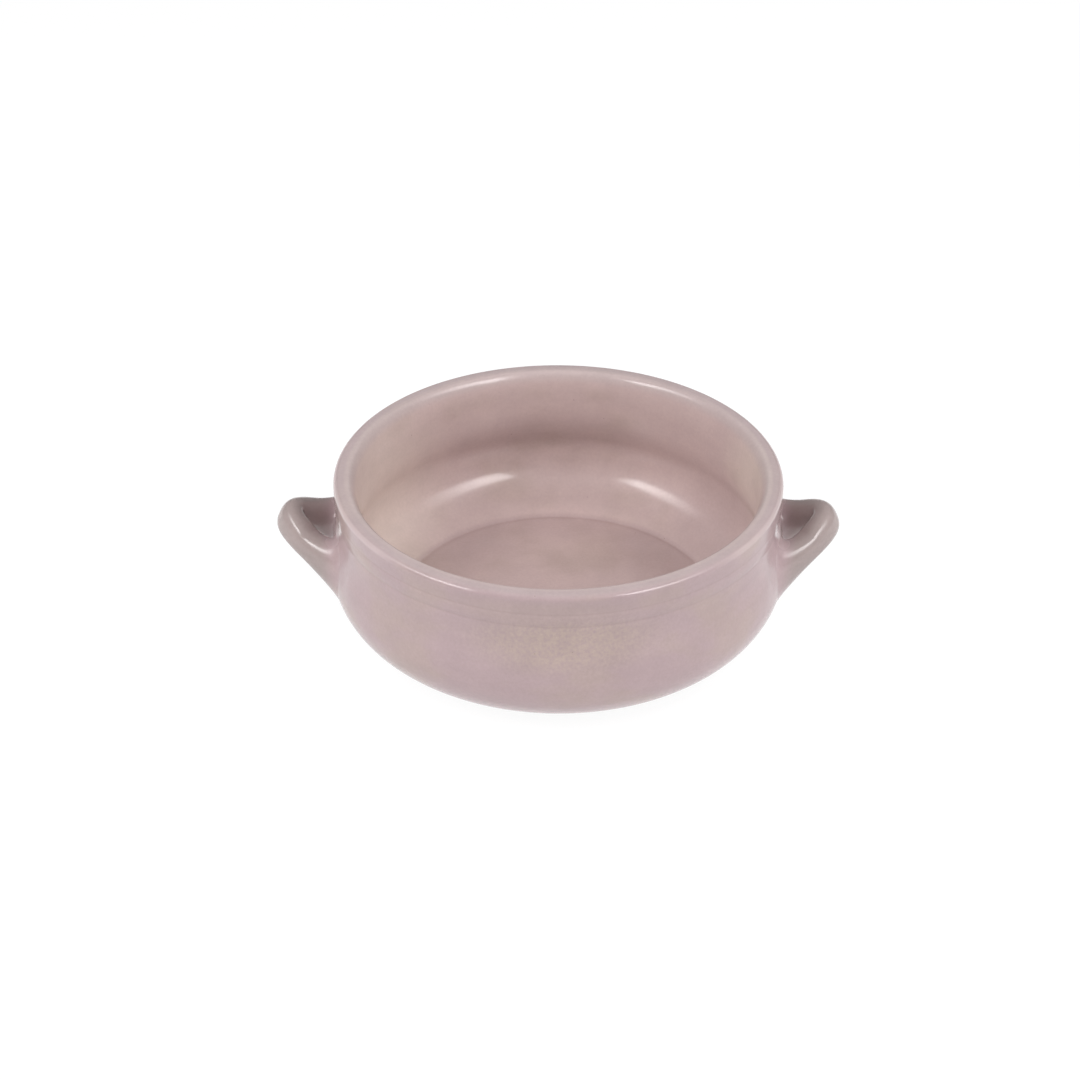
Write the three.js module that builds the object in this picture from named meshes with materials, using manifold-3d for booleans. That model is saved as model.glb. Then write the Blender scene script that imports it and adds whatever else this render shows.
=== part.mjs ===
// A small two-handled tapas dish in glazed stoneware.
// One thrown bowl carries two pulled loop handles, luted to its wall under the rim.
// Millimetres, +Z up. The origin is the centre of the foot's resting plane, and the handles lie on X.

import * as THREE from 'three';
import Module from 'manifold-3d';
import { mergeVertices } from 'three/addons/utils/BufferGeometryUtils.js';

const wasm = await Module();
wasm.setup();

// Bowl: overall size
const rimRadius = 60;
const dishHeight = 46;

// Bowl: the flat-topped rim, with a crisp outer edge and a soft roll down into the bowl
const rimWidth = 6.6;
const rimEdgeRound = 1.6;
const rimLand = 2.2;
const rimRollDrop = 9;
const rimBandDepth = 4.5;

// Bowl: the outside wall, drawn in a little at a neck under the rim and swelling to a belly
const neckInset = 0.3;
const neckDepth = 10.5;
const bellyBulge = 1.4;
const bellyDepth = 26;
const haunchWidth = 23.7;
const haunchClearance = 0.9;

// Bowl: the inside, a wall undercut below the mouth, a cove, and a flat floor with a crease round it
const wallThickness = 5.2;
const undercutDepth = 21;
const floorHeight = 4.8;
const floorRadius = 43.3;
const coveRise = 14.7;
const coveDrop = 4;
const coveRun = 12.9;
const creaseAngle = 24;

// Bowl: the turned foot ring
const footRadius = 43;
const footWidth = 4.5;
const footRecess = 1.2;
const footRound = 0.6;

// Handles: the loop's centre line, reaching out past the rim and spanned from root to root
const tipReach = 12.1;
const rootSpacing = 23.4;
const rootDrop = 22;
const tipDrop = 14.4;
const loopPinch = 2.45;

// Handles: the clay's section, measured in the plane of the loop and across it
const tipThickness = 6.6;
const tipDepth = 9;
const rootThickness = 9.6;
const rootDepth = 10.4;
const loopWaist = 0.1;
const sectionSquareness = 2.4;
const sectionLean = 8;

// Handles: the roots, smoothed onto the wall with a fillet that runs out in an oval
const rootReach = 7.4;
const rootSpreadOut = 5.2;
const rootSpreadIn = 3.6;
const rootSpreadUp = 1.5;
const rootSpreadDown = 7.6;
const rootEdge = 0.4;
const filletHug = 0.74;
const rootBury = 2;
const seatGap = 0.3;

// Facets: how far an arc may stray from its chords, and the counts of the other curves
const chordError = 0.06;
const bowlSides = 64;
const sweepSteps = 4;
const coveSteps = 8;
const sectionSides = 20;
const loopSteps = 20;
const rootSteps = 5;

const rimHeight = dishHeight;
const neckHeight = dishHeight - neckDepth;
const bellyHeight = dishHeight - bellyDepth;
const neckRadius = rimRadius - neckInset;
const bellyRadius = rimRadius + bellyBulge;
const mouthRadius = rimRadius - rimWidth;
const innerRadius = bellyRadius - wallThickness;
const undercutHeight = dishHeight - undercutDepth;
const coveHeight = floorHeight + coveRise;

const glaze = { color: 0xbca7a7, roughness: 0.28, metalness: 0 };

function point(radius, height) {
  return new THREE.Vector2(radius, height);
}

// A smooth S between two heights of a wall, upright at both ends, without its first point.
// It leans most near the height of its bend.
function wallSweep(from, to, bend) {
  const sweep = new THREE.CubicBezierCurve(from, point(from.x, bend), point(to.x, bend), to);
  return sweep.getPoints(sweepSteps).slice(1);
}

// An arc of a circle or an upright ellipse, in as many chords as its tolerance needs
function arc(centre, radiusX, radiusY, fromDegrees, toDegrees) {
  const from = THREE.MathUtils.degToRad(fromDegrees);
  const to = THREE.MathUtils.degToRad(toDegrees);
  const chordAngle = 2 * Math.acos(1 - chordError / Math.max(radiusX, radiusY));
  const steps = Math.ceil(Math.abs(to - from) / chordAngle);
  const curve = new THREE.EllipseCurve(centre.x, centre.y, radiusX, radiusY, from, to, to < from);
  return curve.getPoints(steps);
}

// The outside from the foot's bottom edge up to the rim's top
function outsideOutline() {
  const haunchCentre = point(bellyRadius - haunchWidth, bellyHeight);
  const haunchDrop = bellyHeight - haunchClearance;
  const footTurn = -THREE.MathUtils.radToDeg(Math.acos((footRadius - haunchCentre.x) / haunchWidth));
  const footCorner = point(footRadius - footRound, footRound);
  const bandBottom = point(rimRadius, rimHeight - rimBandDepth);
  const edgeCentre = point(rimRadius - rimEdgeRound, rimHeight - rimEdgeRound);
  const neck = point(neckRadius, neckHeight);
  return [
    ...arc(footCorner, footRound, footRound, -90, 0),
    ...arc(haunchCentre, haunchWidth, haunchDrop, footTurn, 0),
    ...wallSweep(point(bellyRadius, bellyHeight), neck, (bellyHeight + neckHeight) / 2),
    ...wallSweep(neck, bandBottom, (neckHeight + bandBottom.y) / 2),
    ...arc(edgeCentre, rimEdgeRound, rimEdgeRound, 0, 90),
  ];
}

// The curve from the inside wall to the crease round the floor, without its first point
function cove() {
  const crease = THREE.MathUtils.degToRad(creaseAngle);
  const run = point(coveRun * Math.cos(crease), coveRun * Math.sin(crease));
  const curve = new THREE.CubicBezierCurve(
    point(innerRadius, coveHeight),
    point(innerRadius, coveHeight - coveDrop),
    point(floorRadius, floorHeight).add(run),
    point(floorRadius, floorHeight),
  );
  return curve.getPoints(coveSteps).slice(1);
}

// The inside from the rim's top down to the centre of the floor
function insideOutline() {
  const rollWidth = rimWidth - rimEdgeRound - rimLand;
  const rollCentre = point(mouthRadius + rollWidth, rimHeight - rimRollDrop);
  const mouth = point(mouthRadius, rimHeight - rimRollDrop);
  return [
    ...arc(rollCentre, rollWidth, rimRollDrop, 90, 180),
    ...wallSweep(mouth, point(innerRadius, coveHeight), undercutHeight),
    ...cove(),
    point(0, floorHeight),
  ];
}

// The underside from its centre out to the foot's flat ring
function footOutline() {
  const ringInner = footRadius - footWidth;
  return [
    point(0, footRecess),
    point(ringInner - footRecess, footRecess),
    point(ringInner, 0),
  ];
}

// A profile turned about the bowl's axis
function revolve(outline) {
  const geometry = new THREE.LatheGeometry(outline, bowlSides);
  geometry.rotateX(Math.PI / 2);
  return geometry;
}

function bowlGeometry() {
  return revolve([...footOutline(), ...outsideOutline(), ...insideOutline()]);
}

// The outside wall's radius at a height, read off its outline
const outside = outsideOutline();

function wallRadius(height) {
  const above = Math.max(1, outside.findIndex((corner) => corner.y > height));
  const low = outside[above - 1];
  const high = outside[above];
  const share = (height - low.y) / (high.y - low.y);
  return THREE.MathUtils.lerp(low.x, high.x, share);
}

// A point on the outside wall, or proud of it, at an angle round from +X
function onWall(angle, height, proud) {
  const radius = wallRadius(height) + proud;
  return new THREE.Vector3(radius * Math.cos(angle), radius * Math.sin(angle), height);
}

// The loop's centre line: a pinched half ellipse, in a plane that rises outwards from the wall.
// The turn runs from 0 at one root to half a circle at the other.
const rootHeight = dishHeight - rootDrop;
const tipHeight = dishHeight - tipDrop;
const rootAngle = Math.asin(rootSpacing / 2 / wallRadius(rootHeight));
const rootX = wallRadius(rootHeight) * Math.cos(rootAngle);
const tipX = rimRadius + tipReach;
const loopTilt = Math.atan2(tipHeight - rootHeight, tipX - rootX);
const loopUp = new THREE.Vector3(-Math.sin(loopTilt), 0, Math.cos(loopTilt));

function loopPoint(turn) {
  const out = Math.pow(Math.sin(turn), loopPinch);
  const side = Math.cos(turn) * rootSpacing / 2;
  const x = THREE.MathUtils.lerp(rootX, tipX, out);
  const z = THREE.MathUtils.lerp(rootHeight, tipHeight, out);
  return new THREE.Vector3(x, side, z);
}

function loopTangent(turn) {
  const step = 0.001;
  return loopPoint(turn + step).sub(loopPoint(turn - step)).normalize();
}

// Bends a sine or cosine so that an oval drawn with it has flatter sides and tighter corners
function squarish(share) {
  return Math.sign(share) * Math.pow(Math.abs(share), 2 / sectionSquareness);
}

// One ring of the loop's skin: a squarish oval across the centre line that leans outwards at its top.
// It is thicker towards the roots and a little shallower at the waist of each branch.
function sectionPoint(turn, around) {
  const rootShare = Math.pow(Math.cos(turn), 2);
  const waist = 1 - loopWaist * Math.pow(Math.sin(2 * turn), 2);
  const thickness = THREE.MathUtils.lerp(tipThickness, rootThickness, rootShare);
  const depth = THREE.MathUtils.lerp(tipDepth, rootDepth, rootShare) * waist;
  const lean = THREE.MathUtils.degToRad(sectionLean);
  const across = squarish(Math.cos(around)) * thickness / 2;
  const rise = squarish(Math.sin(around)) * depth / 2;
  const outward = loopUp.clone().cross(loopTangent(turn));
  return loopPoint(turn)
    .addScaledVector(outward, across * Math.cos(lean) + rise * Math.sin(lean))
    .addScaledVector(loopUp, rise * Math.cos(lean) - across * Math.sin(lean));
}

// Where a root's smoothed edge meets the wall: an oval round the root, longer outwards and down
function footprintPoint(side, around, scale, proud) {
  const spreadAcross = Math.cos(around) > 0 ? rootSpreadOut : rootSpreadIn;
  const spreadAlong = Math.sin(around) > 0 ? rootSpreadUp : rootSpreadDown;
  const across = Math.cos(around) * (rootThickness / 2 + spreadAcross) * scale;
  const rise = Math.sin(around) * (rootDepth / 2 + spreadAlong) * scale;
  const angle = side * (rootAngle + across / wallRadius(rootHeight));
  return onWall(angle, rootHeight + rise, proud);
}

// The turn at which the loop has come far enough out of the wall for its roots to begin
function rootTurn() {
  const share = rootReach / (tipX - rootX);
  return Math.asin(Math.pow(share, 1 / loopPinch));
}

// One line of a root's fillet, from the wall out to the loop
function rootCurve(side, around) {
  const turn = side > 0 ? rootTurn() : Math.PI - rootTurn();
  const start = sectionPoint(turn, around);
  const inward = loopTangent(turn).multiplyScalar(-side);
  const proud = seatGap + rootEdge;
  return new THREE.CubicBezierCurve3(
    footprintPoint(side, around, 1, proud),
    footprintPoint(side, around, filletHug, proud),
    start.clone().addScaledVector(inward, rootReach / 2),
    start,
  );
}

function ring(pointAt) {
  const points = [];
  for (let index = 0; index < sectionSides; index += 1) {
    points.push(pointAt(index / sectionSides * 2 * Math.PI));
  }
  return points;
}

// The whole loop as rings, from inside the wall at one root round to the other
function loopRings() {
  const rings = [ring((around) => footprintPoint(1, around, 1, -rootBury))];
  for (let step = 0; step < rootSteps; step += 1) {
    rings.push(ring((around) => rootCurve(1, around).getPoint(step / rootSteps)));
  }
  for (let step = 0; step <= loopSteps; step += 1) {
    const turn = THREE.MathUtils.lerp(rootTurn(), Math.PI - rootTurn(), step / loopSteps);
    rings.push(ring((around) => sectionPoint(turn, around)));
  }
  for (let step = rootSteps - 1; step >= 0; step -= 1) {
    rings.push(ring((around) => rootCurve(-1, around).getPoint(step / rootSteps)));
  }
  rings.push(ring((around) => footprintPoint(-1, around, 1, -rootBury)));
  return rings;
}

// A closed skin over the rings, with a fan across each end
function loft(rings) {
  const sides = rings[0].length;
  const corners = rings.flat();
  const ends = [rings[0], rings[rings.length - 1]];
  const firstEnd = corners.length;
  for (const end of ends) {
    const middle = end.reduce((sum, corner) => sum.add(corner), new THREE.Vector3());
    corners.push(middle.divideScalar(sides));
  }
  const faces = [];
  for (let row = 0; row + 1 < rings.length; row += 1) {
    for (let side = 0; side < sides; side += 1) {
      const a = row * sides + side;
      const b = row * sides + (side + 1) % sides;
      faces.push(a, b, a + sides, b, b + sides, a + sides);
    }
  }
  const lastRow = (rings.length - 1) * sides;
  for (let side = 0; side < sides; side += 1) {
    const next = (side + 1) % sides;
    faces.push(firstEnd, next, side);
    faces.push(firstEnd + 1, lastRow + side, lastRow + next);
  }
  const geometry = new THREE.BufferGeometry().setFromPoints(corners);
  geometry.setIndex(faces);
  return geometry;
}

function toSolid(geometry) {
  const bare = geometry.clone();
  bare.deleteAttribute('normal');
  bare.deleteAttribute('uv');
  const merged = mergeVertices(bare, 0.0001);
  const mesh = new wasm.Mesh({
    numProp: 3,
    vertProperties: new Float32Array(merged.attributes.position.array),
    triVerts: new Uint32Array(merged.index.array),
  });
  return new wasm.Manifold(mesh);
}

function toGeometry(solid) {
  const mesh = solid.getMesh();
  const geometry = new THREE.BufferGeometry();
  geometry.setAttribute('position', new THREE.BufferAttribute(mesh.vertProperties, 3));
  geometry.setIndex(new THREE.BufferAttribute(mesh.triVerts, 1));
  geometry.computeVertexNormals();
  return geometry;
}

// The bowl's outside, filled in and grown by the seat's gap, that trims the handles' roots
function seatCutter() {
  const grown = outside.map((corner) => point(corner.x + seatGap, corner.y));
  return toSolid(revolve([point(0, 0), ...grown, point(0, rimHeight)]));
}

function handleGeometry() {
  return toGeometry(toSolid(loft(loopRings())).subtract(seatCutter()));
}

function piece(name, geometry) {
  const mesh = new THREE.Mesh(geometry, new THREE.MeshStandardMaterial(glaze));
  mesh.name = name;
  return mesh;
}

function handle(name, turned) {
  const mesh = piece(name, handleGeometry());
  mesh.rotation.z = turned;
  return mesh;
}

const dish = new THREE.Group();
dish.add(piece('dish_body', bowlGeometry()));
dish.add(handle('handle_right', 0));
dish.add(handle('handle_left', Math.PI));

export default dish;
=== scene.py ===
import math
from collections import namedtuple

import bpy
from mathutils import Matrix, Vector, noise


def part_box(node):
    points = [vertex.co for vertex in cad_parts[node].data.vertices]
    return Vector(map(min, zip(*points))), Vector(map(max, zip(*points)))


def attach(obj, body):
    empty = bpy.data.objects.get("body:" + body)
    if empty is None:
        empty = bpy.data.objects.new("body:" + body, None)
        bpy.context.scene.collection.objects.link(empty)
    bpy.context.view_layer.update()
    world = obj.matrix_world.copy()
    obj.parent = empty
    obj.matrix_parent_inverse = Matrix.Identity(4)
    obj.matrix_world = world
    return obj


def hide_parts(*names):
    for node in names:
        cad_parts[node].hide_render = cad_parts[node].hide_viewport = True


# A small two-handled tapas dish in dusty pink stoneware, on a white studio floor.
# Metres, +Z up. The bowl's axis is Z and the handles lie on X.

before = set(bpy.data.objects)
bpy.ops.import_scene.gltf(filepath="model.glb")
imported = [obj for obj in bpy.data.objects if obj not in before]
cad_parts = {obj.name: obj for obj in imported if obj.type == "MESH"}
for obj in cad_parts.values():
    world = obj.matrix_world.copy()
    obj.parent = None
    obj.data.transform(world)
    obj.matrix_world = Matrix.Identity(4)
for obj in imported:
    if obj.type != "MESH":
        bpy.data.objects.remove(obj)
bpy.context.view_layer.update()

# Sizes read from the frame
BODY_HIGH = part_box("dish_body")[1]
HANDLE_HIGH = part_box("handle_right")[1]
RIM_HEIGHT = BODY_HIGH.z
BELLY_RADIUS = BODY_HIGH.x

# Bowl: the flat-topped rim
BELLY_BULGE = 0.0014
RIM_RADIUS = BELLY_RADIUS - BELLY_BULGE
RIM_CENTRE = Vector((0, 0, RIM_HEIGHT))
RIM_WIDTH = 0.0066
RIM_EDGE_ROUND = 0.0016
RIM_LAND = 0.0022
RIM_ROLL_DROP = 0.0090
RIM_BAND_DEPTH = 0.0045

# Bowl: the outside wall
NECK_INSET = 0.0003
NECK_DEPTH = 0.0105
BELLY_DEPTH = 0.0260
NECK_RADIUS = RIM_RADIUS - NECK_INSET
NECK_HEIGHT = RIM_HEIGHT - NECK_DEPTH
BELLY_HEIGHT = RIM_HEIGHT - BELLY_DEPTH
HAUNCH_WIDTH = 0.0237
HAUNCH_CLEARANCE = 0.0009

# Bowl: the inside, with a fine groove round the floor where the cove ends
WALL_THICKNESS = 0.0052
MOUTH_RADIUS = RIM_RADIUS - RIM_WIDTH
INNER_RADIUS = BELLY_RADIUS - WALL_THICKNESS
FLOOR_HEIGHT = 0.0048
FLOOR_RADIUS = 0.0433
UNDERCUT_HEIGHT = 0.0250
COVE_HEIGHT = 0.0195
COVE_DROP = 0.0040
COVE_RUN = 0.0129
CREASE_ANGLE = math.radians(24)
CREASE_DEPTH = 0.00020
CREASE_WIDTH = 0.0009
CREASE_REACH = 4 * CREASE_WIDTH

# Bowl: marks of the wheel on the outside wall, all cut into it
RING_PITCH = 0.0039
RING_DEPTH = 0.00003
LINE_HEIGHTS = (0.0368, 0.0407, 0.0440)
LINE_DEPTH = 0.00013
LINE_WIDTH = 0.0005
WOBBLE_DEPTH = 0.00012

# Bowl: how fast the marks change round the wall and, per metre, up it, and where one noise starts
DRIFT_ROUND = 2
DRIFT_UP = 60
WANDER_UP = 25
WANDER_START = Vector((7, 0, 0))

# Bowl: where the marks begin above the foot, end at the rim and were wiped away beside the handles
MARKS_START = 0.008
MARKS_FULL = 0.020
MARKS_RIM_FADE = 0.002
MARKED_RADIUS = NECK_RADIUS - 0.001
WIPED_ANGLE = math.radians(18)
LINED_ANGLE = math.radians(28)

# Bowl: the dimple that a thumb left beside each handle's root
DIMPLE_ANGLE = math.radians(21.5)
DIMPLE_HEIGHT = 0.0265
DIMPLE_WIDTH = math.radians(2.0)
DIMPLE_LENGTH = 0.0040
DIMPLE_DEPTH = 0.00030

# Bowl: the turned foot ring
FOOT_RADIUS = 0.0430
FOOT_WIDTH = 0.0045
FOOT_RECESS = 0.0012
FOOT_ROUND = 0.0006

# Handles: the loop's centre line, whose tip lies about half the clay's thickness within the handle's box
TIP_MARGIN = 0.0037
ROOT_SPACING = 0.0234
ROOT_DROP = 0.0220
TIP_DROP = 0.0144
LOOP_PINCH = 2.45
TIP_X = HANDLE_HIGH.x - TIP_MARGIN
ROOT_HEIGHT = RIM_HEIGHT - ROOT_DROP
TIP_HEIGHT = RIM_HEIGHT - TIP_DROP

# Handles: the clay's section
TIP_THICKNESS = 0.0066
TIP_DEPTH = 0.0090
ROOT_THICKNESS = 0.0096
ROOT_DEPTH = 0.0104
LOOP_WAIST = 0.10
SECTION_SQUARENESS = 2.4
SECTION_LEAN = math.radians(8)

# Handles: the unevenness of pulled clay and a thumb's hollow, their depths as shares of the section
LOOP_UNEVENNESS = 0.035
UNEVEN_PITCH = 2.5
UNEVEN_SEED = 9
HOLLOW_TURN = math.radians(44)
HOLLOW_SPAN = math.radians(11)
HOLLOW_DEPTH = 0.20

# Handles: the roots, smoothed onto the wall in an oval and carried on into it
ROOT_REACH = 0.0074
ROOT_SPREAD_OUT = 0.0036
ROOT_SPREAD_IN = 0.0050
ROOT_SPREAD_UP = 0.0034
ROOT_SPREAD_DOWN = 0.0076
FILLET_HUG = 0.66
ROOT_SINK = -0.0001
ROOT_BURY = -0.0015

# Facets
BOWL_SIDES = 256
WALL_STEP = 0.00045
CREASE_STEP = 0.0003
FLOOR_STEP = 0.0020
SECTION_SIDES = 56
LOOP_STEPS = 72
ROOT_STEPS = 14

# Glaze: colours as linear light
MAUVE = (0.412, 0.308, 0.318, 1)
ROSE = (0.508, 0.389, 0.377, 1)
SAND = (0.415, 0.322, 0.285, 1)
# A warmer glaze tone, also made paler as painted light on the inside side walls
WARM_LIT_SAND = (0.610, 0.505, 0.456, 1)
# Lighter and a little greyer, as painted light on the rim's upward-facing top
LIT_RIM_GREY = (0.476, 0.392, 0.388, 1)
# Darker and greyer, as painted shade on the handles
SHADED_HANDLE_GREY = (0.344, 0.279, 0.269, 1)
# Pale, partly from glaze run thin and partly as a painted highlight on the rim's edge
PALE_RIM_EDGE = (0.600, 0.500, 0.495, 1)
# Dark glaze: pooled glaze in the grooves, and painted shade
POOL_AND_SHADE = (0.337, 0.248, 0.245, 1)
SPECK = (0.200, 0.140, 0.125, 1)
BARE_CLAY = (0.600, 0.510, 0.420, 1)

# Glaze: its patches and those of painted light and shade, each by its centre and by its reach along the
# axes
BELLY_PATCH = ((0.002, -0.0605, 0.0318), (0.032, 0.040, 0.0115))
UNDER_RIM_PATCH = ((-0.004, -0.0600, 0.0405), (0.036, 0.030, 0.0060))
# The warm patches on the inside side walls also carry painted light
LEFT_WARM_LIT_PATCH = ((-0.050, 0.004, 0.023), (0.034, 0.062, 0.034))
RIGHT_WARM_LIT_PATCH = ((0.053, -0.002, 0.034), (0.018, 0.040, 0.022))
# Painted light on the back of the floor
LIT_FLOOR_PATCH = ((0.003, 0.038, FLOOR_HEIGHT), (0.028, 0.020, 0.004))
# Painted shade on the inside wall
LOW_WALL_PATCH = ((0.044, 0.028, 0.0115), (0.020, 0.028, 0.014))
BACK_WALL_PATCH = ((0.0, 0.054, 0.027), (0.040, 0.016, 0.009))
# Painted shade within the handles' loops
LOOP_PATCH = ((0.0640, 0.0, 0.0260), (0.0055, 0.0090, 0.0110))
CROOK_PATCH = ((0.0600, 0.0105, 0.0340), (0.0050, 0.0080, 0.0090))
PATCH_CORE = 0.3

# Glaze: points midway through the wall, as radius and height, that part the inside from the outside
MID_WALL_LOW = (0.046, 0.0035)
MID_WALL_HIGH = (0.057, 0.011)
MID_WALL_BLUR = 0.0005

# Glaze: where each change of colour begins and where it is complete
RIM_TOP_HEIGHTS = (0.0425, 0.0450)
RIM_TOP_RADII = (0.0600, 0.0582)
HANDLE_RADII = (0.0612, 0.0650)
PALE_RIM_EDGE_HEIGHTS = (0.0442, 0.0452)
PALE_RIM_EDGE_RADII = (0.0588, 0.0594)
PALE_RIM_EDGE_SIDES = (0.036, 0.050)
# Painted light low on the belly
LOW_BELLY_HEIGHTS = (0.026, 0.010)
# Lines darkened by pooled glaze and by painted shade
POOLED_SHADED_LINES = LINE_HEIGHTS[:2]
POOLED_SHADED_SIDES = (0.018, 0.028)
# The floor's groove is pooled glaze and painted shade; its outer part is painted shade
POOLED_SHADED_GROOVE = (0.0018, 0.0002)
SHADED_FLOOR_EDGE = (0.0200, 0.0400)
FLOOR_END = (FLOOR_RADIUS + 0.0010, FLOOR_RADIUS)
FLOOR_TOP = (0.0065, 0.0052)
BARE_HEIGHTS = (0.0004, 0.0002)

# Glaze: how strong each change of colour is
SAND_CLOUD_SHARE = 0.5
UNDER_RIM_SHARE = 0.4
RIM_TOP_SHARE = 0.7
PALE_RIM_EDGE_SHARE = 0.6
GROOVE_SHARE = 0.42
FLOOR_EDGE_SHARE = 0.50
LOW_WALL_SHARE = 0.38
BACK_WALL_SHARE = 0.28
LINE_SHARE = 0.25
LOOP_SHARE = 0.7
SPECK_SHARE = 0.6
LOW_BELLY_LIGHT_GAIN = 0.08
LIT_FLOOR_GAIN = 0.15

# Glaze: the sizes of its noises, how much they change the colour, and how flat some are drawn
GRAIN_SIZE = 0.0008
MOTTLE_SIZE = 0.0080
BAND_SIZE = 0.0130
SAND_CLOUD_SIZE = 0.026
GRAIN_SWING = 0.035
PATCH_GRAIN_SWING = 0.05
MOTTLE_SWING = 0.045
BAND_SWING = 0.015
BAND_FLATNESS = 7
SAND_FLATNESS = 1.7
SAND_CLOUD_LEVELS = (0.48, 0.68)
SAND_GRAIN_LEVELS = (0.15, 0.70)
NOISE_ROUGHNESS = 0.55

# Glaze: its specks
SPECK_SPACING = 0.0045
SPECK_RADIUS = 0.00020
SPECK_CORE = 0.4
SPECK_CHANCES = (0.60, 0.75)

# Glaze: its surface, and how matt it is
RIPPLE_SIZE = 0.0060
RIPPLE_DEPTH = 0.00004
PITTING_DEPTH = 0.000002
MATT = 0.11
MATT_SWING = 0.06
MATT_SIZE = 0.015
INSIDE_MATT = 0.05
CROOK_MATT = 0.18
BARE_MATT = 0.65

# Studio: the paper on the floor, just under the foot, and the room's light
PAPER_SIZE = 6.0
PAPER_DROP = 0.0002
PAPER_WHITE = (0.90, 0.90, 0.90, 1)
PAPER_GLOW = 0.94
PAPER_SHADED = (0.10, 0.10, 0.10, 1)
ROOM_LIGHT = 0.05
ROOM_MIRRORED = 0.25

# Studio: each lamp's name, place, width, height and brightness
LAMPS = (
    ("softbox_right", (0.520, -0.320, 0.344), 0.46, 0.62, 2.15),
    ("softbox_left", (-0.480, -0.270, 0.446), 0.46, 0.50, 3.7),
    ("side_right", (0.585, 0.082, 0.508), 0.50, 0.50, 3.0),
    ("side_left", (-0.585, 0.082, 0.508), 0.50, 0.50, 1.6),
    ("softbox_top", (0, -0.574, 0.865), 0.80, 0.50, 3.5),
)

# Studio: each card's name, place, width, height, bright end along its own X, and brightness
CARDS = (
    ("card_right", (0.513, -0.238, 0.385), 0.72, 0.34, -1, 10.5),
    ("card_left", (-0.507, -0.115, 0.415), 0.66, 0.24, 1, 11.5),
)

# Camera: where it stands from the rim's centre, and what it aims at
CAMERA_DISTANCE = 0.700
CAMERA_ELEVATION = math.radians(31.33)
CAMERA_LENS = 87.5
CAMERA_AIM = Vector((-0.00488, 0.0, 0.02452))


def lerp(start, end, share):
    return start + (end - start) * share


def smooth(start, end, value):
    """0 up to the start, 1 from the end on, and an easy rise between. The end may be the lower one."""
    share = min(max((value - start) / (end - start), 0.0), 1.0)
    return share * share * (3 - 2 * share)


# Bowl

def arc(centre, radius_x, radius_z, start, end):
    """Points along an arc of an upright ellipse, from angle to angle in radians."""
    count = max(2, math.ceil(abs(end - start) * max(radius_x, radius_z) / WALL_STEP))
    angles = [lerp(start, end, step / count) for step in range(count + 1)]
    return [(centre[0] + radius_x * math.cos(a), centre[1] + radius_z * math.sin(a)) for a in angles]


def bezier(a, b, c, d, share):
    rest = 1 - share
    weights = (rest ** 3, 3 * rest * rest * share, 3 * rest * share * share, share ** 3)
    return sum((p * w for p, w in zip((a, b, c, d), weights)), Vector((0,) * len(a)))


def wall_sweep(start, end, bend):
    """A smooth S between two heights of a wall, upright at both ends and leaning most near the bend's
    height, without its first point."""
    corners = [Vector(p) for p in (start, (start[0], bend), (end[0], bend), end)]
    count = max(2, math.ceil(abs(end[1] - start[1]) / WALL_STEP))
    return [tuple(bezier(*corners, step / count)) for step in range(1, count + 1)]


def straight(start, end, step):
    """Points along a straight line, without its first point."""
    length = math.hypot(end[0] - start[0], end[1] - start[1])
    count = max(1, math.ceil(length / step))
    shares = [index / count for index in range(1, count + 1)]
    return [(lerp(start[0], end[0], share), lerp(start[1], end[1], share)) for share in shares]


def outside_outline():
    """From the foot's bottom edge up to the rim's top."""
    haunch_centre = (BELLY_RADIUS - HAUNCH_WIDTH, BELLY_HEIGHT)
    haunch_drop = BELLY_HEIGHT - HAUNCH_CLEARANCE
    foot_turn = -math.acos((FOOT_RADIUS - haunch_centre[0]) / HAUNCH_WIDTH)
    foot_corner = (FOOT_RADIUS - FOOT_ROUND, FOOT_ROUND)
    neck = (NECK_RADIUS, NECK_HEIGHT)
    band_bottom = (RIM_RADIUS, RIM_HEIGHT - RIM_BAND_DEPTH)
    edge_centre = (RIM_RADIUS - RIM_EDGE_ROUND, RIM_HEIGHT - RIM_EDGE_ROUND)
    points = arc(foot_corner, FOOT_ROUND, FOOT_ROUND, -math.pi / 2, 0)
    points += arc(haunch_centre, HAUNCH_WIDTH, haunch_drop, foot_turn, 0)
    points += wall_sweep((BELLY_RADIUS, BELLY_HEIGHT), neck, (BELLY_HEIGHT + NECK_HEIGHT) / 2)
    points += wall_sweep(neck, band_bottom, (NECK_HEIGHT + band_bottom[1]) / 2)
    points += arc(edge_centre, RIM_EDGE_ROUND, RIM_EDGE_ROUND, 0, math.pi / 2)
    return points


def cove():
    """The curve from the inside wall to the crease round the floor, without its first point."""
    run = (COVE_RUN * math.cos(CREASE_ANGLE), COVE_RUN * math.sin(CREASE_ANGLE))
    top = Vector((INNER_RADIUS, COVE_HEIGHT))
    crease = Vector((FLOOR_RADIUS, FLOOR_HEIGHT))
    corners = (top, top - Vector((0, COVE_DROP)), crease + Vector(run), crease)
    count = math.ceil(2 * COVE_RUN / CREASE_STEP)
    return [tuple(bezier(*corners, step / count)) for step in range(1, count + 1)]


def crease_groove(radius):
    """How deep the groove round the floor is at a radius."""
    return CREASE_DEPTH * math.exp(-((radius - FLOOR_RADIUS) / CREASE_WIDTH) ** 2)


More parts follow.
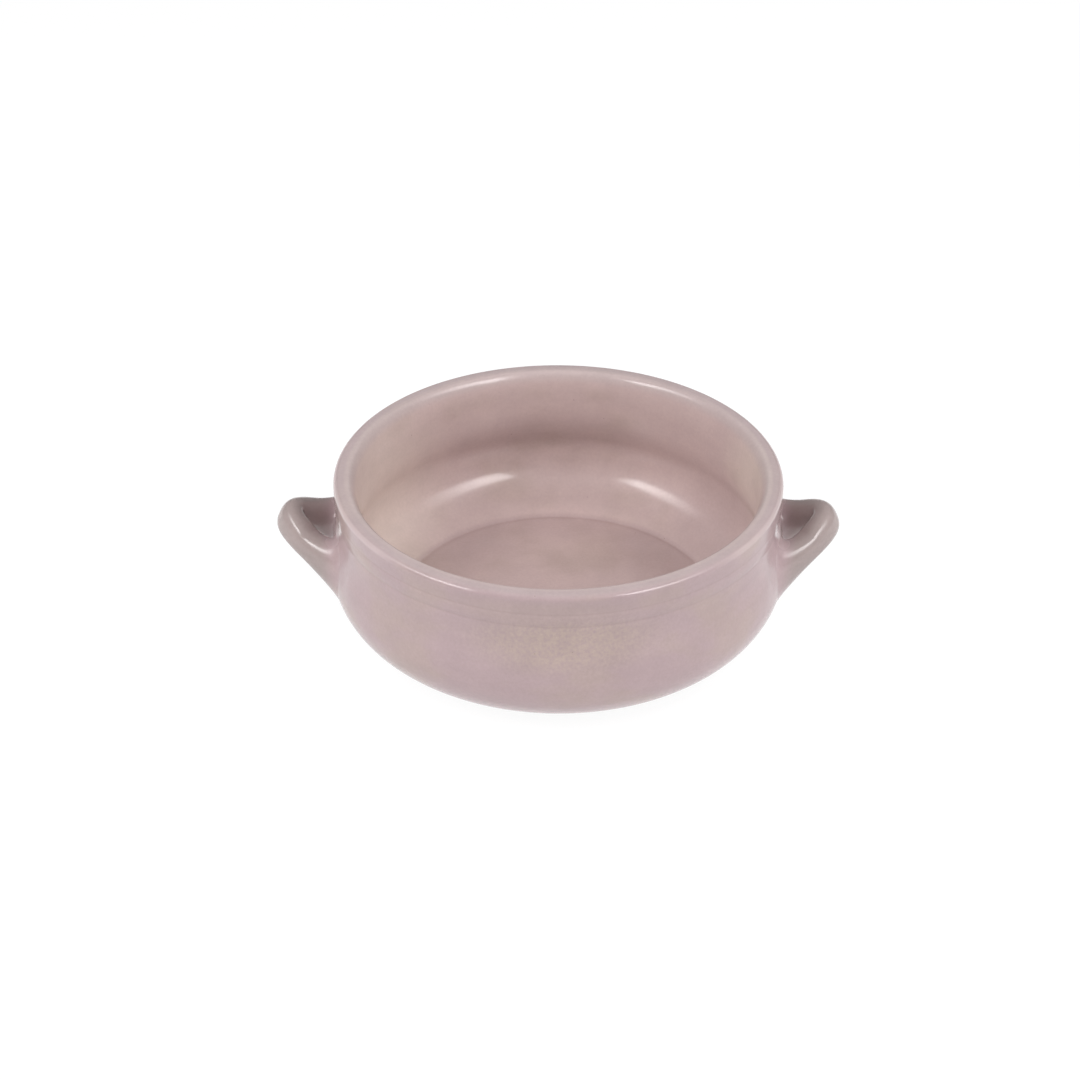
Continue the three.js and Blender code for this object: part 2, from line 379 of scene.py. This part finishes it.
def inside_outline():
    """From the rim's top down to the centre of the floor."""
    roll_width = RIM_WIDTH - RIM_EDGE_ROUND - RIM_LAND
    roll_centre = (MOUTH_RADIUS + roll_width, RIM_HEIGHT - RIM_ROLL_DROP)
    mouth = (MOUTH_RADIUS, RIM_HEIGHT - RIM_ROLL_DROP)
    groove_end = (FLOOR_RADIUS - CREASE_REACH, FLOOR_HEIGHT)
    wall = arc(roll_centre, roll_width, RIM_ROLL_DROP, math.pi / 2, math.pi)
    wall += wall_sweep(mouth, (INNER_RADIUS, COVE_HEIGHT), UNDERCUT_HEIGHT)
    base = cove()
    base += straight((FLOOR_RADIUS, FLOOR_HEIGHT), groove_end, CREASE_STEP)
    base += straight(groove_end, (0, FLOOR_HEIGHT), FLOOR_STEP)
    return wall + [(radius, height - crease_groove(radius)) for radius, height in base]


def foot_outline():
    """The underside from its centre out to the foot's flat ring."""
    ring_inner = FOOT_RADIUS - FOOT_WIDTH
    recess_edge = (ring_inner - FOOT_RECESS, FOOT_RECESS)
    points = [(0, FOOT_RECESS)] + straight((0, FOOT_RECESS), recess_edge, FLOOR_STEP)
    return points + straight(recess_edge, (ring_inner, 0), WALL_STEP)


def from_handle(angle):
    """The angle round the wall to the nearer handle's middle."""
    return abs(math.asin(math.sin(angle)))


def wheel_marks(angle, height):
    """How far the outside wall lies within its true outline: throwing rings, fine lines and a slow
    wobble. They die away towards the foot and at the rim's edge, and the rings and lines were wiped
    away where the handles were stuck on."""
    round_wall = Vector((math.cos(angle), math.sin(angle), 0))
    drift = noise.noise(DRIFT_ROUND * round_wall + Vector((0, 0, DRIFT_UP * height)))
    wander = noise.noise(round_wall + WANDER_START + Vector((0, 0, WANDER_UP * height)))
    rings = RING_DEPTH * (1 + math.sin(2 * math.pi * height / RING_PITCH + 2 * drift)) / 2
    lines = sum(LINE_DEPTH * math.exp(-((height - at) / LINE_WIDTH) ** 2) for at in LINE_HEIGHTS)
    wobble = WOBBLE_DEPTH * (1 + wander) / 2
    span = smooth(MARKS_START, MARKS_FULL, height)
    span *= smooth(RIM_HEIGHT, RIM_HEIGHT - MARKS_RIM_FADE, height)
    kept = smooth(WIPED_ANGLE, LINED_ANGLE, from_handle(angle))
    return span * (kept * (rings + lines * (1 + drift)) + wobble)


def thumb_dimples(angle, height):
    """How far the outside wall is pressed in beside the handles' roots."""
    across = (from_handle(angle) - DIMPLE_ANGLE) / DIMPLE_WIDTH
    along = (height - DIMPLE_HEIGHT) / DIMPLE_LENGTH
    return DIMPLE_DEPTH * math.exp(-across * across - along * along)


def wall_marks(angle, height):
    """How deep all the marks together cut into the outside wall."""
    return wheel_marks(angle, height) + thumb_dimples(angle, height)


def make_object(name, points, faces):
    mesh = bpy.data.meshes.new(name)
    mesh.from_pydata(points, [], faces)
    mesh.validate()
    for polygon in mesh.polygons:
        polygon.use_smooth = True
    piece = bpy.data.objects.new(name, mesh)
    bpy.context.scene.collection.objects.link(piece)
    return piece


def revolve(outline):
    """Points and faces of an outline turned about Z. Its two ends lie on the axis."""
    rows = outline[1:-1]
    points = []
    for radius, height in rows:
        outside = smooth(INNER_RADIUS, MARKED_RADIUS, radius)
        for side in range(BOWL_SIDES):
            angle = 2 * math.pi * side / BOWL_SIDES
            marked = radius - outside * wall_marks(angle, height)
            points.append((marked * math.cos(angle), marked * math.sin(angle), height))
    faces = []
    for row in range(len(rows) - 1):
        for side in range(BOWL_SIDES):
            a = row * BOWL_SIDES + side
            b = row * BOWL_SIDES + (side + 1) % BOWL_SIDES
            faces.append((a, b, b + BOWL_SIDES, a + BOWL_SIDES))
    bottom = len(points)
    last = (len(rows) - 1) * BOWL_SIDES
    points.append((0, 0, outline[0][1]))
    points.append((0, 0, outline[-1][1]))
    for side in range(BOWL_SIDES):
        other = (side + 1) % BOWL_SIDES
        faces.append((bottom, other, side))
        faces.append((bottom + 1, last + side, last + other))
    return points, faces


def make_body():
    outline = foot_outline() + outside_outline() + inside_outline()
    return make_object("stoneware_bowl", *revolve(outline))


# Handles

OUTSIDE = outside_outline()


def wall_radius(height):
    """The outside wall's radius at a height, read off its outline."""
    for low, high in zip(OUTSIDE, OUTSIDE[1:]):
        if low[1] <= height <= high[1] and high[1] > low[1]:
            return lerp(low[0], high[0], (height - low[1]) / (high[1] - low[1]))
    return RIM_RADIUS


ROOT_ANGLE = math.asin(ROOT_SPACING / 2 / wall_radius(ROOT_HEIGHT))
ROOT_X = wall_radius(ROOT_HEIGHT) * math.cos(ROOT_ANGLE)
LOOP_TILT = math.atan2(TIP_HEIGHT - ROOT_HEIGHT, TIP_X - ROOT_X)
LOOP_UP = Vector((-math.sin(LOOP_TILT), 0, math.cos(LOOP_TILT)))
ROOT_TURN = math.asin((ROOT_REACH / (TIP_X - ROOT_X)) ** (1 / LOOP_PINCH))


def on_wall(angle, height, proud, facing):
    """A point on or near the marked wall, for a handle that stands on +X until it is turned round."""
    turned = angle if facing > 0 else angle + math.pi
    radius = wall_radius(height) - wall_marks(turned, height) + proud
    return Vector((radius * math.cos(angle), radius * math.sin(angle), height))


def loop_point(turn):
    """The loop's centre line: a pinched half ellipse in a plane that rises outwards."""
    out = math.sin(turn) ** LOOP_PINCH
    side = math.cos(turn) * ROOT_SPACING / 2
    return Vector((lerp(ROOT_X, TIP_X, out), side, lerp(ROOT_HEIGHT, TIP_HEIGHT, out)))


def loop_tangent(turn):
    step = 0.001
    return (loop_point(turn + step) - loop_point(turn - step)).normalized()


def squarish(share):
    """Bends a sine or cosine so that an oval drawn with it has flatter sides and tighter corners."""
    return math.copysign(abs(share) ** (2 / SECTION_SQUARENESS), share)


def hand_pull(turn, around, facing):
    """How much of its full section the pulled clay has here: a little less all along, and less again
    in the hollow that a thumb left on top of the handle's front branch."""
    spot = Vector((math.cos(around), math.sin(around), UNEVEN_PITCH * turn + UNEVEN_SEED * facing))
    along = (turn - math.pi / 2 - facing * HOLLOW_TURN) / HOLLOW_SPAN
    hollow = HOLLOW_DEPTH * math.exp(-along * along) * max(math.sin(around), 0)
    return 1 - LOOP_UNEVENNESS * (1 + noise.noise(spot)) / 2 - hollow


def section_point(turn, around, facing):
    """A point on a squarish oval across the centre line that leans outwards at its top. It is thicker
    towards the roots and a little shallower at the waist of each branch."""
    root_share = math.cos(turn) ** 2
    waist = 1 - LOOP_WAIST * math.sin(2 * turn) ** 2
    pull = hand_pull(turn, around, facing)
    across = squarish(math.cos(around)) * lerp(TIP_THICKNESS, ROOT_THICKNESS, root_share) / 2 * pull
    rise = squarish(math.sin(around)) * lerp(TIP_DEPTH, ROOT_DEPTH, root_share) / 2 * waist * pull
    out = across * math.cos(SECTION_LEAN) + rise * math.sin(SECTION_LEAN)
    up = rise * math.cos(SECTION_LEAN) - across * math.sin(SECTION_LEAN)
    outward = LOOP_UP.cross(loop_tangent(turn))
    return loop_point(turn) + outward * out + LOOP_UP * up


def footprint_point(side, around, scale, proud, facing):
    """Where a root's smoothed edge meets the wall: an oval, longer towards the hole and down."""
    spread_across = ROOT_SPREAD_OUT if math.cos(around) > 0 else ROOT_SPREAD_IN
    spread_along = ROOT_SPREAD_UP if math.sin(around) > 0 else ROOT_SPREAD_DOWN
    across = math.cos(around) * (ROOT_THICKNESS / 2 + spread_across) * scale
    rise = math.sin(around) * (ROOT_DEPTH / 2 + spread_along) * scale
    angle = side * (ROOT_ANGLE + across / wall_radius(ROOT_HEIGHT))
    return on_wall(angle, ROOT_HEIGHT + rise, proud, facing)


def root_point(side, around, share, facing):
    """A point on a root's fillet, from the wall at share 0 out to the loop at share 1."""
    turn = ROOT_TURN if side > 0 else math.pi - ROOT_TURN
    start = section_point(turn, around, facing)
    inward = loop_tangent(turn) * -side
    edge = footprint_point(side, around, 1.0, ROOT_SINK, facing)
    hug = footprint_point(side, around, FILLET_HUG, 0.0, facing)
    return bezier(edge, hug, start + inward * (ROOT_REACH / 2), start, share)


def ring(point_at):
    return [point_at(2 * math.pi * index / SECTION_SIDES) for index in range(SECTION_SIDES)]


def loop_rings(facing):
    """The whole loop as rings, from inside the wall at one root round to the other."""
    rings = [ring(lambda around: footprint_point(1, around, 1.0, ROOT_BURY, facing))]
    for step in range(ROOT_STEPS):
        rings.append(ring(lambda around: root_point(1, around, step / ROOT_STEPS, facing)))
    for step in range(LOOP_STEPS + 1):
        turn = lerp(ROOT_TURN, math.pi - ROOT_TURN, step / LOOP_STEPS)
        rings.append(ring(lambda around: section_point(turn, around, facing)))
    for step in reversed(range(ROOT_STEPS)):
        rings.append(ring(lambda around: root_point(-1, around, step / ROOT_STEPS, facing)))
    rings.append(ring(lambda around: footprint_point(-1, around, 1.0, ROOT_BURY, facing)))
    return rings


def loft(rings):
    """Points and faces of a closed skin over the rings, with a cap across each end."""
    points = [tuple(point) for each in rings for point in each]
    sides = SECTION_SIDES
    faces = []
    for row in range(len(rings) - 1):
        for side in range(sides):
            a = row * sides + side
            b = row * sides + (side + 1) % sides
            faces.append((a, b, b + sides, a + sides))
    last = (len(rings) - 1) * sides
    faces.append(tuple(reversed(range(sides))))
    faces.append(tuple(last + side for side in range(sides)))
    return points, faces


def make_handle(name, facing):
    """A handle on the +X side, or turned half round for one that faces -X."""
    points, faces = loft(loop_rings(facing))
    turned = [(facing * x, facing * y, z) for x, y, z in points]
    return make_object(name, turned, faces)


# Glaze: small steps to build its nodes with

def add_node(tree, kind, settings, inputs):
    """A shader node with its settings, and its inputs set or linked by name or number."""
    made = tree.nodes.new(kind)
    for name, value in settings.items():
        setattr(made, name, value)
    for name, value in inputs.items():
        if isinstance(value, bpy.types.NodeSocket):
            tree.links.new(value, made.inputs[name])
        else:
            made.inputs[name].default_value = value
    return made


def calculate(tree, operation, first, second=0.0, third=0.0):
    sockets = {0: first, 1: second, 2: third}
    return add_node(tree, "ShaderNodeMath", {"operation": operation}, sockets).outputs[0]


def add_share(tree, share, amount, start):
    """A start value, raised by an amount as far as the share goes."""
    return calculate(tree, "MULTIPLY_ADD", share, amount, start)


def distance(tree, first, second):
    """How far apart two numbers are."""
    return calculate(tree, "ABSOLUTE", calculate(tree, "SUBTRACT", first, second))


def vector_step(tree, operation, first, second):
    settings = {"operation": operation}
    return add_node(tree, "ShaderNodeVectorMath", settings, {0: first, 1: second}).outputs[0]


def vector_length(tree, vector):
    return add_node(tree, "ShaderNodeVectorMath", {"operation": "LENGTH"}, {0: vector}).outputs["Value"]


def along_axis(tree, position, axis):
    return add_node(tree, "ShaderNodeSeparateXYZ", {}, {0: position}).outputs[axis]


def flattened(tree, position, flatness):
    """A position whose height counts for more, so that a noise read there lies flatter."""
    return vector_step(tree, "MULTIPLY", position, (1, 1, flatness))


def mirrored(tree, position):
    """A position without its signs, so that one patch stands at both handles, front and back."""
    return vector_step(tree, "ABSOLUTE", position, (0, 0, 0))


def fade(tree, value, start, end):
    """0 where a value is at its start, 1 at its end, and an easy change between."""
    sockets = {"Value": value, "From Min": start, "From Max": end}
    return add_node(tree, "ShaderNodeMapRange", {"interpolation_type": "SMOOTHSTEP"}, sockets).outputs[0]


def both(tree, first, second):
    return calculate(tree, "MULTIPLY", first, second)


def either(tree, first, second):
    return calculate(tree, "MAXIMUM", first, second)


def rest_of(tree, share):
    return calculate(tree, "SUBTRACT", 1.0, share)


def blend(tree, share, first, second):
    """A colour that goes from the first to the second as the share goes from 0 to 1."""
    sockets = {0: share, 6: first, 7: second}
    return add_node(tree, "ShaderNodeMix", {"data_type": "RGBA"}, sockets).outputs[2]


def shade(tree, colour, factor):
    sockets = {0: colour, "Scale": factor}
    return add_node(tree, "ShaderNodeVectorMath", {"operation": "SCALE"}, sockets).outputs[0]


def cloud(tree, position, size, detail):
    """Soft noise from 0 to 1 whose blots are about a given size across."""
    sockets = {"Vector": position, "Scale": 1 / size, "Detail": detail, "Roughness": NOISE_ROUGHNESS}
    return add_node(tree, "ShaderNodeTexNoise", {}, sockets).outputs[0]


def swing(tree, value, amount):
    """A factor that goes up and down about 1, by the given amount as a noise goes from 1/4 to 3/4."""
    centred = calculate(tree, "MULTIPLY_ADD", value, 4.0, -2.0)
    return add_share(tree, centred, amount, 1.0)


def blot(tree, position, centre, reach):
    """1 about a centre, fading to 0 at a reach given along each axis."""
    away = vector_step(tree, "SUBTRACT", position, centre)
    scaled = vector_step(tree, "DIVIDE", away, reach)
    return fade(tree, vector_length(tree, scaled), 1.0, PATCH_CORE)


# Glaze: where on the dish each of its colours and its painted light and shade lies

Place = namedtuple("Place", "position radius height")


def find_place(tree):
    """Where a point of the glaze is: its position, its distance from the axis and its height."""
    position = add_node(tree, "ShaderNodeTexCoord", {}, {}).outputs["Object"]
    radius = vector_length(tree, vector_step(tree, "MULTIPLY", position, (1, 1, 0)))
    return Place(position, radius, along_axis(tree, position, "Z"))


def inside_share(tree, place):
    """1 on the bowl's inside and 0 on its outside, parted midway through the wall."""
    sockets = {
        "Value": place.height,
        "From Min": MID_WALL_LOW[1],
        "From Max": MID_WALL_HIGH[1],
        "To Min": MID_WALL_LOW[0],
        "To Max": MID_WALL_HIGH[0],
    }
    mid_wall = add_node(tree, "ShaderNodeMapRange", {}, sockets).outputs[0]
    depth = calculate(tree, "SUBTRACT", mid_wall, place.radius)
    return fade(tree, depth, -MID_WALL_BLUR, MID_WALL_BLUR)


def sand_share(tree, position, patch, grain):
    """Where the glaze broke thin and sandy: in soft clouds, through the grain of the patch on the belly
    and under the rim above it."""
    drawn = cloud(tree, flattened(tree, position, SAND_FLATNESS), SAND_CLOUD_SIZE, detail=3)
    clouds = both(tree, fade(tree, drawn, *SAND_CLOUD_LEVELS), SAND_CLOUD_SHARE)
    broken = both(tree, patch, fade(tree, grain, *SAND_GRAIN_LEVELS))
    under_rim = both(tree, blot(tree, position, *UNDER_RIM_PATCH), UNDER_RIM_SHARE)
    return either(tree, clouds, either(tree, broken, under_rim))


def warm_and_lit_share(tree, position, inside):
    """Two stretches of the inside wall, by the handles: a warmer glaze, made paler as painted light."""
    left_wall = blot(tree, position, *LEFT_WARM_LIT_PATCH)
    right_wall = blot(tree, position, *RIGHT_WARM_LIT_PATCH)
    return both(tree, either(tree, left_wall, right_wall), inside)


def lit_rim_top_share(tree, place):
    """The rim's flat top, made lighter and a little greyer as painted light on the upward-facing top."""
    high = fade(tree, place.height, *RIM_TOP_HEIGHTS)
    top = both(tree, high, fade(tree, place.radius, *RIM_TOP_RADII))
    return both(tree, top, RIM_TOP_SHARE)


def pale_rim_edge_share(tree, place):
    """The rim's outer edge by the handles, pale from glaze run thin and from a painted highlight."""
    high = fade(tree, place.height, *PALE_RIM_EDGE_HEIGHTS)
    edge = both(tree, high, fade(tree, place.radius, *PALE_RIM_EDGE_RADII))
    sideways = calculate(tree, "ABSOLUTE", along_axis(tree, place.position, "X"))
    return both(tree, both(tree, edge, fade(tree, sideways, *PALE_RIM_EDGE_SIDES)), PALE_RIM_EDGE_SHARE)


def floor_pool_and_shade_share(tree, place):
    """The floor's groove, dark from pooled glaze and painted shade, and its outer part, painted shade."""
    off_groove = distance(tree, place.radius, FLOOR_RADIUS)
    groove = both(tree, fade(tree, off_groove, *POOLED_SHADED_GROOVE), GROOVE_SHARE)
    edge = both(tree, fade(tree, place.radius, *SHADED_FLOOR_EDGE), FLOOR_EDGE_SHARE)
    edge = both(tree, edge, fade(tree, place.radius, *FLOOR_END))
    return both(tree, either(tree, groove, edge), fade(tree, place.height, *FLOOR_TOP))


def wall_shade_share(tree, position, inside):
    """Painted shade on two parts of the inside wall: low on the right towards the back, and below the rim
    at the back.
    """
    low = both(tree, blot(tree, position, *LOW_WALL_PATCH), LOW_WALL_SHARE)
    back = both(tree, blot(tree, position, *BACK_WALL_PATCH), BACK_WALL_SHARE)
    return both(tree, either(tree, low, back), inside)


def line_pool_and_shade_share(tree, place, inside):
    """The lines that the wheel cut under the rim, on the outside and away from the handles, darkened by
    pooled glaze and painted shade.
    """
    lines = 0.0
    for line in POOLED_SHADED_LINES:
        lines = either(tree, lines, fade(tree, distance(tree, place.height, line), LINE_WIDTH, 0.0))
    forward = calculate(tree, "ABSOLUTE", along_axis(tree, place.position, "Y"))
    lines = both(tree, lines, fade(tree, forward, *POOLED_SHADED_SIDES))
    return both(tree, both(tree, lines, rest_of(tree, inside)), LINE_SHARE)


def pool_and_shade_share(tree, place, inside):
    """How far the glaze is darkened on the bowl and in the handles' loops, by pooled glaze and painted
    shade.
    """
    # Painted shade within the handles' loops
    loops = both(tree, blot(tree, mirrored(tree, place.position), *LOOP_PATCH), LOOP_SHARE)
    inner_wall = wall_shade_share(tree, place.position, inside)
    walls = either(tree, inner_wall, line_pool_and_shade_share(tree, place, inside))
    return either(tree, either(tree, floor_pool_and_shade_share(tree, place), walls), loops)


def painted_light_factor(tree, place, inside):
    """Painted light: how much paler the glaze is made low on the belly and on the back of the floor, as a
    factor.
    """
    low_belly = both(tree, fade(tree, place.height, *LOW_BELLY_HEIGHTS), rest_of(tree, inside))
    belly = add_share(tree, low_belly, LOW_BELLY_LIGHT_GAIN, 1.0)
    floor = add_share(tree, blot(tree, place.position, *LIT_FLOOR_PATCH), LIT_FLOOR_GAIN, 1.0)
    return both(tree, belly, floor)


def mottle_factor(tree, position, patch, grain):
    """Light and dark mottling, faint bands and grain, which is stronger in the sandy patch."""
    mottle = cloud(tree, position, MOTTLE_SIZE, detail=4)
    bands = cloud(tree, flattened(tree, position, BAND_FLATNESS), BAND_SIZE, detail=3)
    uneven = both(tree, swing(tree, mottle, MOTTLE_SWING), swing(tree, bands, BAND_SWING))
    grain_swing = add_share(tree, patch, PATCH_GRAIN_SWING, GRAIN_SWING)
    return both(tree, uneven, swing(tree, grain, grain_swing))


def speck_share(tree, position):
    """Small iron specks, one in some of the cells of a lattice."""
    cells = add_node(tree, "ShaderNodeTexVoronoi", {}, {"Vector": position, "Scale": 1 / SPECK_SPACING})
    chance = add_node(tree, "ShaderNodeSeparateColor", {}, {0: cells.outputs["Color"]}).outputs[0]
    reach = SPECK_RADIUS / SPECK_SPACING
    spot = fade(tree, cells.outputs["Distance"], reach, SPECK_CORE * reach)
    return both(tree, both(tree, spot, fade(tree, chance, *SPECK_CHANCES)), SPECK_SHARE)


def glaze_colour(tree, place, grain):
    """The glaze's colours and its painted light and shade, laid one over the other."""
    inside = inside_share(tree, place)
    patch = blot(tree, place.position, *BELLY_PATCH)
    colour = blend(tree, inside, MAUVE, ROSE)
    colour = blend(tree, sand_share(tree, place.position, patch, grain), colour, SAND)
    # Warmer tone with painted light on the inside side walls
    colour = blend(tree, warm_and_lit_share(tree, place.position, inside), colour, WARM_LIT_SAND)
    # Painted light on the rim's top
    colour = blend(tree, lit_rim_top_share(tree, place), colour, LIT_RIM_GREY)
    # Painted shade on the handles
    colour = blend(tree, fade(tree, place.radius, *HANDLE_RADII), colour, SHADED_HANDLE_GREY)
    # Pooled glaze and painted shade
    colour = blend(tree, pool_and_shade_share(tree, place, inside), colour, POOL_AND_SHADE)
    # Painted light low on the belly and on the floor's back
    colour = shade(tree, colour, painted_light_factor(tree, place, inside))
    colour = shade(tree, colour, mottle_factor(tree, place.position, patch, grain))
    # Thin glaze and a painted highlight on the rim's outer edge
    colour = blend(tree, pale_rim_edge_share(tree, place), colour, PALE_RIM_EDGE)
    return blend(tree, speck_share(tree, place.position), colour, SPECK)


def glaze_relief(tree, position, grain):
    """The glaze's slow ripple and fine pitting, as a normal."""
    ripple = both(tree, cloud(tree, position, RIPPLE_SIZE, detail=2), RIPPLE_DEPTH)
    height = add_share(tree, grain, PITTING_DEPTH, ripple)
    return add_node(tree, "ShaderNodeBump", {}, {"Height": height, "Distance": 1.0}).outputs[0]


def glaze_matt(tree, place, bare):
    """How matt the surface is: glossy all over, softer inside and in the handles' crooks, and dry where
    the clay is bare."""
    matt = add_share(tree, cloud(tree, place.position, MATT_SIZE, detail=2), MATT_SWING, MATT)
    matt = add_share(tree, inside_share(tree, place), INSIDE_MATT, matt)
    crooks = blot(tree, mirrored(tree, place.position), *CROOK_PATCH)
    matt = add_share(tree, crooks, CROOK_MATT, matt)
    return add_share(tree, bare, BARE_MATT, matt)


def make_glaze():
    """Dusty pink glaze over the whole dish except the foot's flat ring, which is bare clay."""
    material = bpy.data.materials.new("dusty_pink_glaze")
    material.use_nodes = True
    tree = material.node_tree
    shader = tree.nodes["Principled BSDF"]
    place = find_place(tree)
    grain = cloud(tree, place.position, GRAIN_SIZE, detail=2)
    bare = fade(tree, place.height, *BARE_HEIGHTS)
    colour = blend(tree, bare, glaze_colour(tree, place, grain), BARE_CLAY)
    tree.links.new(colour, shader.inputs["Base Color"])
    tree.links.new(glaze_matt(tree, place, bare), shader.inputs["Roughness"])
    tree.links.new(glaze_relief(tree, place.position, grain), shader.inputs["Normal"])
    return material


# Studio

def empty_material(name):
    """A new material without any node."""
    material = bpy.data.materials.new(name)
    material.use_nodes = True
    material.node_tree.nodes.clear()
    return material


def make_sheet(name, width, height, level):
    """A flat rectangle about the origin, at a level in Z."""
    x = width / 2
    y = height / 2
    corners = [(-x, -y, level), (x, -y, level), (x, y, level), (-x, y, level)]
    return make_object(name, corners, [(0, 1, 2, 3)])


def aim_at(thing, location, target):
    """Puts a lamp, a card or the camera in its place and turns it to face a point."""
    thing.location = location
    thing.rotation_euler = (target - Vector(location)).to_track_quat("-Z", "Y").to_euler()


def make_floor():
    """White paper. The camera, mirrors and glass see it near white, with a trace of the dish's shadow."""
    floor = make_sheet("studio_floor", PAPER_SIZE, PAPER_SIZE, -PAPER_DROP)
    material = empty_material("white_paper")
    tree = material.node_tree
    paper = add_node(tree, "ShaderNodeBsdfDiffuse", {}, {"Color": PAPER_WHITE}).outputs[0]
    glow = add_node(tree, "ShaderNodeEmission", {}, {"Strength": PAPER_GLOW}).outputs[0]
    tint = add_node(tree, "ShaderNodeBsdfDiffuse", {}, {"Color": PAPER_SHADED}).outputs[0]
    seen = add_node(tree, "ShaderNodeAddShader", {}, {0: glow, 1: tint}).outputs[0]
    path = add_node(tree, "ShaderNodeLightPath", {}, {}).outputs
    looked_at = either(tree, path["Is Camera Ray"], path["Is Transmission Ray"])
    looked_at = either(tree, looked_at, path["Is Glossy Ray"])
    pick = add_node(tree, "ShaderNodeMixShader", {}, {0: looked_at, 1: paper, 2: seen}).outputs[0]
    add_node(tree, "ShaderNodeOutputMaterial", {}, {"Surface": pick})
    floor.data.materials.append(material)


def make_light(name, location, width, height, radiance):
    """A soft lamp that lights the dish and that no reflection shows."""
    light = bpy.data.lights.new(name, "AREA")
    light.shape = "RECTANGLE"
    light.size = width
    light.size_y = height
    light.energy = radiance * math.pi * width * height
    lamp = bpy.data.objects.new(name, light)
    lamp.visible_glossy = False
    aim_at(lamp, location, RIM_CENTRE)
    bpy.context.scene.collection.objects.link(lamp)


def make_glow_card(name, location, width, height, bright_end, radiance):
    """A card that only reflections show, brightest at one end and fading out towards the other end and
    towards its lower edge."""
    card = make_sheet(name, width, height, 0)
    aim_at(card, location, RIM_CENTRE)
    material = empty_material(name)
    tree = material.node_tree
    position = add_node(tree, "ShaderNodeTexCoord", {}, {}).outputs["Object"]
    far_end = -bright_end * width / 2
    lengthways = fade(tree, along_axis(tree, position, "X"), far_end, -far_end)
    upwards = fade(tree, along_axis(tree, position, "Y"), -height / 2, 0.0)
    strength = both(tree, both(tree, lengthways, upwards), radiance)
    light = add_node(tree, "ShaderNodeEmission", {}, {"Strength": strength}).outputs[0]
    add_node(tree, "ShaderNodeOutputMaterial", {}, {"Surface": light})
    card.data.materials.append(material)
    card.visible_diffuse = False
    card.visible_camera = False
    card.visible_shadow = False


def make_world():
    """A dim room that reflections show paler, so that the glaze mirrors no black sky."""
    world = bpy.data.worlds.new("pale_room")
    world.use_nodes = True
    tree = world.node_tree
    background = tree.nodes["Background"]
    background.inputs["Color"].default_value = (1, 1, 1, 1)
    seen_in_gloss = add_node(tree, "ShaderNodeLightPath", {}, {}).outputs["Is Glossy Ray"]
    strength = add_share(tree, seen_in_gloss, ROOM_MIRRORED, ROOM_LIGHT)
    tree.links.new(strength, background.inputs["Strength"])
    bpy.context.scene.world = world


def make_camera():
    camera = bpy.data.objects.new("camera", bpy.data.cameras.new("camera"))
    camera.data.lens = CAMERA_LENS
    back = Vector((0, -math.cos(CAMERA_ELEVATION), math.sin(CAMERA_ELEVATION)))
    aim_at(camera, RIM_CENTRE + back * CAMERA_DISTANCE, CAMERA_AIM)
    bpy.context.scene.collection.objects.link(camera)
    bpy.context.scene.camera = camera


def finish_piece(piece, node, material):
    piece.data.materials.append(material)
    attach(piece, "root")
    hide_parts(node)


glaze = make_glaze()
finish_piece(make_body(), "dish_body", glaze)
finish_piece(make_handle("loop_handle_right", 1), "handle_right", glaze)
finish_piece(make_handle("loop_handle_left", -1), "handle_left", glaze)
make_floor()
for lamp in LAMPS:
    make_light(*lamp)
for card in CARDS:
    make_glow_card(*card)
make_world()
make_camera()
bpy.context.scene.view_settings.view_transform = "Standard"
